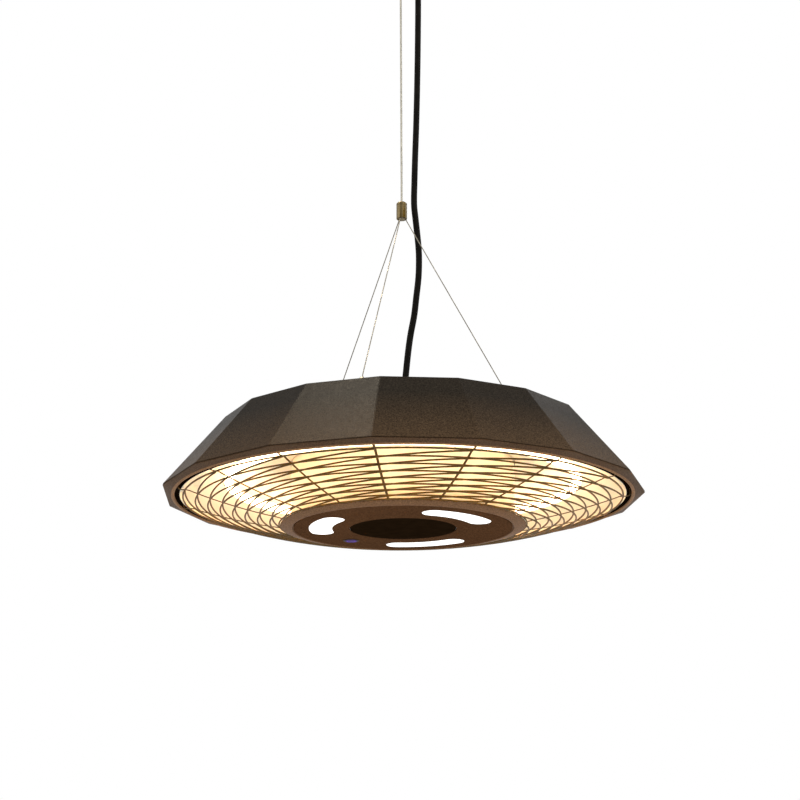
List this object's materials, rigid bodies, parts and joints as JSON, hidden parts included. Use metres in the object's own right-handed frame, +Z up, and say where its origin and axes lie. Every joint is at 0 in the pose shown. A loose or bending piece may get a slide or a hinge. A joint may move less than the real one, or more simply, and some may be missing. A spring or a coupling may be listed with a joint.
{
  "type": "hanging patio heater",
  "caption": "Pendulum patio heater: faceted shade with domed wire guard, ring heating tube, reflector and lit centre disc, hung on wires with its power cable.",
  "frame": {"origin": "middle of the ceiling bracket's top face, where the heater hangs from", "axes": "+Z up, -Y towards the viewer of the picture, +X to the viewer's right"},
  "size_m": [0.636, 0.636, 0.899],
  "materials": {
    "powder_coat": "fine textured powder coat",
    "warm_coat": "satin powder coat",
    "guard_metal": "bronze coated wire",
    "reflector_metal": "bright",
    "steel": "zinc plated",
    "wire_steel": "stranded wire",
    "antique_brass": "antique",
    "black_rubber": "matte",
    "black_plastic": "matte",
    "white_plastic": "matte",
    "lens_white": "diffusing, lit",
    "lamp_glass": "glowing tube",
    "ceramic": "ceramic",
    "button_glow": "lit from behind"
  },
  "bodies": {
    "ceiling_mount": {"ceiling_bracket": "steel", "rose_cover": "powder_coat", "rose_screw_1": "steel", "rose_screw_2": "steel", "rose_bush": "black_rubber", "rose_terminal_block": "white_plastic", "eye_bolt": "steel", "eye_nut": "steel"},
    "link": {"quick_link": "steel", "quick_link_nut": "steel"},
    "hanger": {"upper_wire": "wire_steel", "thimble": "steel", "upper_ferrule": "wire_steel", "wire_stop": "steel"},
    "heater": {"coupling_cap": "antique_brass", "coupling_body": "antique_brass", "lower_wire_1": "wire_steel", "lower_wire_2": "wire_steel", "lower_wire_3": "wire_steel", "wire_ferrule_1": "wire_steel", "wire_ferrule_2": "wire_steel", "wire_ferrule_3": "wire_steel", "anchor_eye_1": "steel", "anchor_eye_2": "steel", "anchor_eye_3": "steel", "anchor_nut_1": "steel", "anchor_nut_2": "steel", "anchor_nut_3": "steel", "top_plate": "powder_coat", "shade_shell": "powder_coat", "gland_body": "black_plastic", "gland_nut": "black_plastic", "gland_locknut": "black_plastic", "bezel_ring": "warm_coat", "reflector": "reflector_metal", "heat_shield": "steel", "terminal_block": "white_plastic", "support_post_1": "steel", "support_post_2": "steel", "support_post_3": "steel", "heating_tube": "lamp_glass", "tube_end_1": "ceramic", "tube_end_2": "ceramic", "tube_clip_1": "steel", "tube_clip_2": "steel", "tube_clip_3": "steel", "grille": "guard_metal", "lamp_housing": "reflector_metal", "disc_bezel": "warm_coat", "face_plate": "warm_coat", "centre_cap": "black_plastic", "lens_1": "lens_white", "lens_2": "lens_white", "lens_3": "lens_white", "led_board": "white_plastic", "button_bezel": "steel", "switch_body": "black_plastic", "button_spring": "steel", "power_cable": "black_rubber"},
    "button": {"button": "button_glow"}
  },
  "joints": [
    {"name": "swing_front", "type": "hinge", "parent": "ceiling_mount", "child": "link", "pos_m": [0, 0, -0.039], "axis": [1, 0, 0], "range_deg": [-15, 15], "deforming": ["power_cable"]},
    {"name": "swing_side", "type": "hinge", "parent": "link", "child": "hanger", "pos_m": [0, 0, -0.0602], "axis": [0, 1, 0], "range_deg": [-15, 15], "deforming": ["power_cable"]},
    {"name": "heater_swivel", "type": "hinge", "parent": "hanger", "child": "heater", "pos_m": [0, 0, -0.436], "axis": [0, 0, 1], "range_deg": [-90, 90], "deforming": ["power_cable"]},
    {"name": "button_press", "type": "slide", "parent": "heater", "child": "button", "axis": [0, 0, 1], "range_m": [0, 0.0012], "stiffness_N_per_m": 800, "springref_m": -0.001, "deforming": ["button_spring"]}
  ]
}
